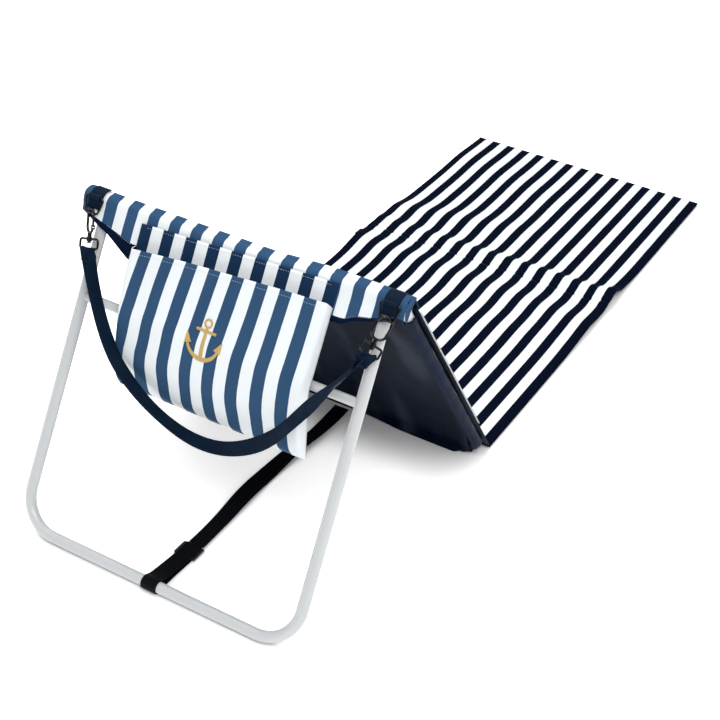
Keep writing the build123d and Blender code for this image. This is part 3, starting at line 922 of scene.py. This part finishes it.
def back_lining():
    """The coated navy cloth behind the panel, slack between the tubes."""
    xs = with_edges(-LINING_HALF_W, LINING_HALF_W, 0.0065)
    grid = swept(xs, lining_section)
    rows = np.linspace(0, 1, grid.shape[0])[:, None]
    normal = np.array((0, math.sin(BACK_TILT), math.cos(BACK_TILT)))
    sag = 0.0062 * back_sag(xs[None, :], rows * BACK_LEN)
    pull = rows * 0.20 + xs[None, :] * 0.94
    bend = 0.8 * np.sin(rows * 6.1 + xs[None, :] * 9)
    folds = 0.0044 * np.abs(np.sin(pull * 21 + bend)) * (0.35 + 0.65 * np.sin(pull * 9 + 1.3) ** 2)
    folds = folds * np.clip(1 - (xs[None, :] / LINING_HALF_W) ** 6, 0, 1)
    folds = folds * smooth(rows, 0.06, 0.25) * (1 - smooth(rows, 0.9, 1.0))
    grid = grid - normal * (sag + folds)[..., None]
    piece = cloth(
        "back_lining", grid, xs + LINING_HALF_W, rows * 0.58, LINING_T, ("navy_lining",), BACK_REAR
    )
    belongs(piece, "backrest", "navy_lining", "back_backing")


def side_sleeves():
    """The lining's hems, wrapped round the side tubes and gathered at the top."""
    for name, side in SIDES:
        ups = np.linspace(0.030, 0.502, 110)
        turns = np.linspace(-20, 252, 40)
        up, turn = np.meshgrid(ups, turns, indexing="ij")
        bunch = smooth(up, 0.44, 0.500)
        ripple = 0.00018 * np.sin(up * 130 + turn * 0.03) + 0.0002 * np.sin(up * 47)
        gather = bunch * (0.0009 + 0.0008 * np.sin(turn * 0.19 + up * 60))
        radius = SLEEVE_R + ripple + gather
        angle = np.radians(turn)
        x = side * (SIDE_X + radius * np.cos(angle) * 0.98)
        front = -radius * np.sin(angle)
        points = grid_of(back_point(x, up, front))
        piece = cloth(
            f"side_sleeve_{name}", points, angle * SLEEVE_R, up, LINING_T,
            ("sleeve_lining",), facing=BACK_REAR,
        )
        belongs(piece, "backrest", "navy_lining")
        if side > 0:
            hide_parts("side_sleeves")


def corner_sleeves():
    """The same hems round the frame's lower corners, bunched where they turn."""
    for name, side in SIDES:
        turns = np.radians(np.linspace(4, -100, 40))
        around = np.linspace(0, 2 * math.pi, 28, endpoint=False)
        turn, ring = np.meshgrid(turns, around, indexing="ij")
        bunch = 0.0010 * np.abs(np.sin(turn * 11 + ring)) * smooth(-turn, 0.1, 0.8)
        radius = CORNER_SLEEVE_R + bunch
        reach = CORNER_R + radius * np.cos(ring)
        x = side * (SIDE_X - CORNER_R + reach * np.cos(turn))
        up = CORNER_R + reach * np.sin(turn)
        rings = grid_of(back_point(x, up, radius * np.sin(ring)))
        rings[..., 2] = np.maximum(rings[..., 2], 0.0004)
        piece = tube_mesh(
            f"corner_sleeve_{name}", rings, around * CORNER_SLEEVE_R, -turns * CORNER_R,
            "sleeve_lining",
        )
        belongs(piece, "backrest", "navy_lining")


def lining_stitching():
    """The seams that close the side hems against the panel."""
    ups = np.linspace(0.045, 0.47, 150)
    rows = [[back_point(x, up, 0.0066) for up in ups] for x in (-0.2262, 0.2262)]
    threads = thread_runs("lining_stitching", rows, "navy_stitch")
    belongs(threads, "backrest", "navy_lining")


# ---- hood and pouch

def hood_radius(x):
    """How far the hood stands off the pivot axis, more over the webbing loops at its ends."""
    return 0.0091 + 0.0064 * smooth(np.abs(x), 0.204, 0.224)


def hem_drop(x):
    """Where the hood's rear hem hangs, higher towards its corners."""
    stations = (-0.2465, -0.228, -0.210, -0.186, -0.160, 0.160, 0.169, 0.182, 0.206, 0.229, 0.2465)
    drops = (0.015, 0.021, 0.027, 0.033, 0.040, 0.036, 0.035, 0.027, 0.022, 0.013, 0.011)
    return np.interp(x, stations, drops)


def facing_depth(x):
    """How far the navy facing shows below the striped hem."""
    stations = (-0.2465, -0.225, -0.200, -0.150, 0.150, 0.200, 0.2465)
    return np.interp(x, stations, (0.003, 0.006, 0.010, 0.024, 0.008, 0.005, 0.006))


def hood_rows(x):
    """The hood's path at one station across: from the panel, over the ridge, to its facing."""
    top = float(hood_radius(x))
    points = []
    for down in np.linspace(0.020, 0.0, HOOD_FRONT_ROWS):
        points.append(back_point(x, BACK_LEN - down, 0.0147))
    for angle in np.linspace(45, 153.5, HOOD_TURN_ROWS):
        settle = float(smooth(angle, 38, 84))
        radius = 0.0150 + (top - 0.0150) * settle
        points.append(pivot_point(x, radius, angle))
    hem = float(hem_drop(x))
    end = hem + float(facing_depth(x))
    striped = np.linspace(0.004, hem, 7)
    facing = np.linspace(hem + 0.001, end, FACING_ROWS)
    for drop in np.concatenate([striped, facing]):
        hang = float(smooth(drop, 0.0, 0.020))
        wave = 0.0012 * math.sin(x * 52 + 0.8) * hang
        corner = 0.0024 * float(smooth(abs(x), 0.206, 0.226))
        out = top + (0.0093 + corner - top) * hang + abs(wave)
        points.append(leg_point(x, drop, out))
    return points


def ridge_lift(x):
    """The ridge stands higher over its right half, a little less at the very end."""
    ends = 0.0008 * np.abs(x / HALF_W) ** 2
    return ends + 0.0058 * smooth(x, 0.03, 0.14) - 0.0026 * smooth(x, 0.20, 0.23)


def on_ridge(x, z):
    """A height with the ridge's lift added, which fades out below the ridge."""
    return z + ridge_lift(x) * smooth(z, 0.425, 0.440)


def hood():
    """The striped cloth that runs from the panel over the ridge and down behind the legs."""
    xs = with_edges(-HALF_W, HALF_W, 0.0048)
    grid = np.array([hood_rows(x) for x in xs]).transpose(1, 0, 2)
    grid[..., 2] = on_ridge(xs, grid[..., 2])
    steps = np.linalg.norm(np.diff(grid, axis=0), axis=2).mean(1)
    along = np.concatenate([[0], np.cumsum(steps)])[:, None]
    across = xs + HALF_W - 0.007 * smooth(xs, 0.02, 0.13)
    bands = np.zeros(grid.shape[0] - 1, int)
    bands[-FACING_ROWS:] = 1
    piece = cloth(
        "hood_cloth", grid, across, along, CLOTH_T,
        ("hood_canvas", "sleeve_lining"), facing=(0, -0.4, 1), bands=bands,
    )
    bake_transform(piece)
    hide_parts("hood")
    hood_ends()
    hood_stitching()


def hood_ends():
    """The hood's side hems, turned in over the ends of the ridge."""
    for name, side in SIDES:
        angles = np.linspace(40, 236, 48)
        shares = np.array([0.0, 0.04, 0.12, 0.35, 0.65, 1.0])
        share, angle = np.meshgrid(shares, angles, indexing="ij")
        radius = float(hood_radius(HALF_W)) * (1 - share * 0.97)
        inward = 0.0005 * np.sqrt(np.clip(share * 6, 0, 1)) + 0.0003 * np.sin(np.radians(angle) * 5)
        x, y, z = pivot_point(side * (HALF_W + 0.0012 - inward), radius, angle)
        piece = cloth(
            f"hood_end_{name}", grid_of((x, y, on_ridge(side * HALF_W, z))), 0.009, share * 0.01,
            0.0009, ("hood_canvas",), facing=(side, 0, 0),
        )
        belongs(piece, "legs", "striped_canvas")


def hood_stitching():
    """The stitches along the hood's hem, on both sides of the pouch."""
    rows = []
    for low, high in ((-0.204, -0.158), (0.158, 0.204)):
        line = []
        for x in np.linspace(low, high, 40):
            inside = float(hem_drop(x)) - 0.0045
            hanging = np.array(hood_rows(x)[HOOD_FRONT_ROWS + HOOD_TURN_ROWS:])
            level = leg_point(x, inside, 0)[2]
            nearest = np.abs(hanging[:, 2] - level).argmin()
            line.append(hanging[nearest] + LEG_OUT * 0.0007)
        rows.append(smooth_path(line, 80))
    threads = thread_runs("hood_stitching", rows, "white_stitch")
    belongs(threads, "legs", "striped_canvas")


def pouch_wall_section(x):
    """The pouch's back wall: down behind the legs, then hanging straight."""
    top = 0.0022 - 0.045 * x
    behind_legs = ((top, 0.0124), (0.060, 0.0124), (0.120, 0.0122), (0.146, 0.0098))
    points = [leg_point(0, drop, out)[1:] for drop, out in behind_legs]
    points += [(CREASE_Y - 0.4005, 0.255), (CREASE_Y - 0.4004, 0.203)]
    return smooth_path(points, 60)


def pouch_front_section(x):
    """The pouch's front wall, from its slanting mouth out over the load and in to the bottom."""
    mouth = float(np.interp(x, (-0.150, -0.065, 0.080, 0.150), (0.0435, 0.0350, 0.0253, 0.0220)))
    behind_legs = ((mouth, 0.0262), (0.070, 0.0262), (0.108, 0.0272), (0.136, 0.0276))
    points = [leg_point(0, drop, out)[1:] for drop, out in behind_legs]
    bottom = ((0.4212, 0.275), (0.4180, 0.245), (0.4120, 0.219), (0.4030, 0.2035))
    points += [(CREASE_Y - behind, z) for behind, z in bottom]
    return smooth_path(points, 72)


def pouch_back_wall():
    xs = with_edges(-POUCH_HALF_W, POUCH_HALF_W, 0.005, rim=(0.0008, 0.002, 0.004))
    grid = swept(xs, pouch_wall_section)
    rows = np.linspace(0, 1, grid.shape[0])[:, None]
    piece = cloth(
        "pouch_back_wall", grid, xs + POUCH_HALF_W, rows * 0.24, CLOTH_T,
        ("pouch_back_canvas", "sleeve_lining"), facing=(0, -1, 0.2),
    )
    belongs(piece, "legs", "striped_canvas", "pouch_back")


def pouch_front_grid(xs):
    """The front wall's points: proud in the middle and drawn back to the sides."""
    front = swept(xs, pouch_front_section)
    wall = swept(xs, pouch_wall_section)
    rows = np.linspace(0, 1, len(front))
    start = 0.13
    last = len(wall) - 1
    stations = (start + rows * (1 - start)) * last
    low = np.clip(stations.astype(int), 0, last - 1)
    part = (stations - low)[:, None, None]
    behind = wall[low] * (1 - part) + wall[low + 1] * part
    side = np.clip((np.abs(xs) - (POUCH_HALF_W - 0.0045)) / 0.0045, 0, 1)
    fullness = np.sqrt(np.clip(1 - side ** 2, 0, 1))[None, :, None]
    body = np.sin(np.clip(rows, 0, 1) * math.pi)[:, None, None]
    grid = behind + (front - behind) * fullness
    belly = 0.0020 * body * np.cos(xs / POUCH_HALF_W * math.pi / 2)[None, :, None]
    pull = 0.0011 * np.sin(xs * 74 + 1.0)[None, :, None] * hump(rows, 0.22, 0.22)[:, None, None]
    slack = 0.0014 * np.sin(xs[None, :, None] * 40 + rows[:, None, None] * 9)
    slack = slack * hump(rows, 0.78, 0.16)[:, None, None]
    grid = grid + LEG_OUT * (belly + pull + slack) * fullness
    drawn_in = 0.0068 * hump(rows, 0.52, 0.24)[:, None] * smooth(-xs, -0.05, 0.15)[None, :]
    grid[..., 0] += drawn_in
    return grid


def pouch_front_wall():
    rim = (0.0002, 0.0006, 0.0013, 0.0024, 0.0036, 0.0052)
    xs = with_edges(-POUCH_HALF_W, POUCH_HALF_W, 0.0045, rim=rim)
    grid = pouch_front_grid(xs)
    rows = np.linspace(0, 1, grid.shape[0])[:, None]
    printed = xs + POUCH_HALF_W
    lower = POUCH_HALF_W * 2 / POUCH_STRIPES + printed * (1 - 1 / POUCH_STRIPES)
    across = printed + (lower - printed) * np.clip(rows / 0.62, 0, 1)
    piece = cloth(
        "pouch_front_wall", grid, across, rows * 0.21, CLOTH_T,
        ("pouch_front_canvas", "sleeve_lining"), facing=(0, -1, 0.2),
    )
    belongs(piece, "legs", "striped_canvas", "pouch_front")


def pouch_stitching():
    """Topstitching along the top of both walls and along the bottom."""
    outward = LEG_OUT * 0.00075
    xs = np.linspace(-POUCH_HALF_W + 0.010, POUCH_HALF_W - 0.010, 90)
    wall = swept(xs, pouch_wall_section)
    front = pouch_front_grid(xs)
    rows = [wall[1] + outward, front[2] + outward, front[-3] + (0, -0.0008, 0)]
    threads = thread_runs("pouch_stitching", rows, "white_stitch")
    belongs(threads, "legs", "striped_canvas")


def on_pouch_front(xs, drops):
    """Points on the pouch's front wall at places given across and down from the pivot."""
    grid = pouch_front_grid(xs)
    behind = (PIVOT_Y - grid[..., 1]) * math.cos(LEG_TILT)
    below = behind + (PIVOT_Z - grid[..., 2]) * math.sin(LEG_TILT)
    found = []
    for i, (x, drop) in enumerate(zip(xs, drops)):
        y, z = (np.interp(drop, below[:, i], grid[:, i, k]) for k in (1, 2))
        found.append((x, y, z))
    return np.array(found)


def satin_stroke(name, spine, widths):
    """One embroidered stroke: a crowned band of gold thread along a spine drawn on the pouch."""
    spine = np.array(spine, float) * ANCHOR_SCALE
    widths = np.broadcast_to(widths, len(spine)) * ANCHOR_SCALE
    ahead = np.gradient(spine, axis=0)
    ahead /= np.linalg.norm(ahead, axis=1, keepdims=True)
    sideways = np.stack([-ahead[:, 1], ahead[:, 0]], axis=-1)
    share = np.linspace(-1, 1, 9)
    offset = share[None, :, None] * (widths / 2)[:, None, None]
    flat = spine[:, None, :] + sideways[:, None, :] * offset
    surface = on_pouch_front(flat[..., 0].ravel() + ANCHOR_X, ANCHOR_DROP - flat[..., 1].ravel())
    points = surface.reshape(*flat.shape[:2], 3) + LEG_OUT * 0.0007
    crown = 0.0006 + 0.0016 * np.sqrt(1 - share ** 2)
    across = widths[:, None] / 2 * share[None, :]
    stroke = cloth(
        name, points, across, distances(spine)[:, None], crown[None, :], ("gold_thread",),
        facing=(0, -1, 0.2),
    )
    belongs(stroke, "legs", "gold_thread")
    return stroke


def anchor():
    """The embroidered anchor: ring, stock, shank, arms and two flukes."""
    turns = np.linspace(0, 2 * math.pi, 41)
    ring = [(0.0048 * math.cos(t), 0.0228 + 0.0048 * math.sin(t)) for t in turns]
    satin_stroke("anchor_ring", ring, 0.0026)
    stock = [(x, 0.0130) for x in np.linspace(-0.0142, 0.0142, 21)]
    satin_stroke("anchor_stock", stock, 0.0034)
    shank = [(0.0, y) for y in np.linspace(0.0182, -0.0235, 31)]
    satin_stroke("anchor_shank", shank, np.linspace(0.0038, 0.0056, 31))
    bend = np.radians(np.linspace(196, 344, 41))
    arms = [(0.0225 * math.cos(t), 0.0002 + 0.0225 * math.sin(t)) for t in bend]
    belly = 0.0030 + 0.0024 * np.sin(np.linspace(0, math.pi, 41))
    piece = satin_stroke("anchor_arms", arms, belly)
    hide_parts("anchor_motif")
    for name, side in SIDES:
        share = np.linspace(0, 1, 13)
        fluke = [(side * (0.0252 - 0.0042 * t), 0.0060 - 0.0130 * t) for t in share]
        satin_stroke(f"anchor_fluke_{name}", fluke, 0.0008 + 0.0092 * share)


# ---- webbing loops

def ring_loops():
    """Webbing folded round each D-ring's bar, its two ends sewn down over the ridge."""
    _, bar_y, bar_z = pivot_point(0, LOOP_BAR_R, LOOP_BAR_ANGLE)
    for name, side in SIDES:
        line = [pivot_point(0, 0.0172, angle)[1:] for angle in (78, 92, 106, 118, 128)]
        line += arc(bar_y, bar_z, 0.0027, (75, 110, 150, 190, 230, 270, 300))
        path = [(side * HARDWARE_X, y, z) for y, z in smooth_path(line, 60)]
        loop = ribbon(f"ring_loop_{name}", path, (1, 0, 0), "navy_webbing", 0.0195, 0.0013)
        belongs(loop, "legs", "navy_webbing")
        if side > 0:
            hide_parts("ring_loops")
        ring_tab(name, side)


def ring_tab(name, side):
    """The tab under each loop: over the ridge and sewn down behind the D-ring."""
    line = [pivot_point(0, 0.0167, angle)[1:] for angle in (62, 80, 98, 116, 134, 150)]
    line += [leg_point(0, drop, 0.0161)[1:] for drop in (0.004, 0.008, 0.012)]
    x = side * HARDWARE_X
    path = [(x, y, on_ridge(x, z)) for y, z in smooth_path(line, 50)]
    tab = ribbon(f"ring_tab_{name}", path, (1, 0, 0), "navy_webbing", 0.0225, 0.0009)
    belongs(tab, "legs", "navy_webbing")


def floor_loop():
    """The floor strap's end: round the legs' bottom bar and back to the slider."""
    under = ((0.1005, 0.0010), (0.070, 0.0009), (0.035, 0.0009), (0.010, 0.0008))
    over = ((0.018, 0.0120), (0.050, 0.0078), (0.1005, 0.0060))
    lower, upper = ([(LEG_BAR_Y + ahead, z) for ahead, z in half] for half in (under, over))
    around = arc(LEG_BAR_Y, LEG_BAR_Z, 0.0089, range(265, 59, -20))
    section = smooth_path(lower + around + upper, 130)
    path = [(0.0006 * math.sin(i * 0.12), y, z) for i, (y, z) in enumerate(section)]
    loop = ribbon("floor_loop", path, (1, 0, 0), "black_webbing")
    belongs(loop, "legs", "black_webbing", "floor_strap_loop")


# ---- stage

def studio_floor():
    """White floor that glows where it is open, so only contact shadows stay dark."""
    mesh = bpy.data.meshes.new("studio_floor")
    reach = 8.0
    level = -0.0004
    corners = [(x * reach, y * reach, level) for x, y in ((-1, -1), (1, -1), (1, 1), (-1, 1))]
    mesh.from_pydata(corners, [], [(0, 1, 2, 3)])
    shader = Shader(
        "studio_floor", Base_Color=(0.93, 0.93, 0.93, 1), Roughness=0.9, Specular_IOR_Level=0.1,
        Emission_Color=(1, 1, 1, 1),
    )
    open_air = shader.add("AmbientOcclusion", {"Distance": 0.11}, samples=16).outputs["AO"]
    lit = shader.math("MULTIPLY", shader.ramp(open_air, 0.40, 0.98), 0.50)
    shader.set(Emission_Strength=lit)
    mesh.materials.append(shader.material)
    add_object("studio_floor", mesh)


def build():
    aim_camera()
    light_scene()
    make_looks()
    carry_webbing()
    floor_webbing()
    dress_cad()
    mat()
    closure_tab()
    back_pad()
    back_lining()
    side_sleeves()
    corner_sleeves()
    lining_stitching()
    hood()
    pouch_back_wall()
    pouch_front_wall()
    pouch_stitching()
    anchor()
    ring_loops()
    floor_loop()
    studio_floor()


build()
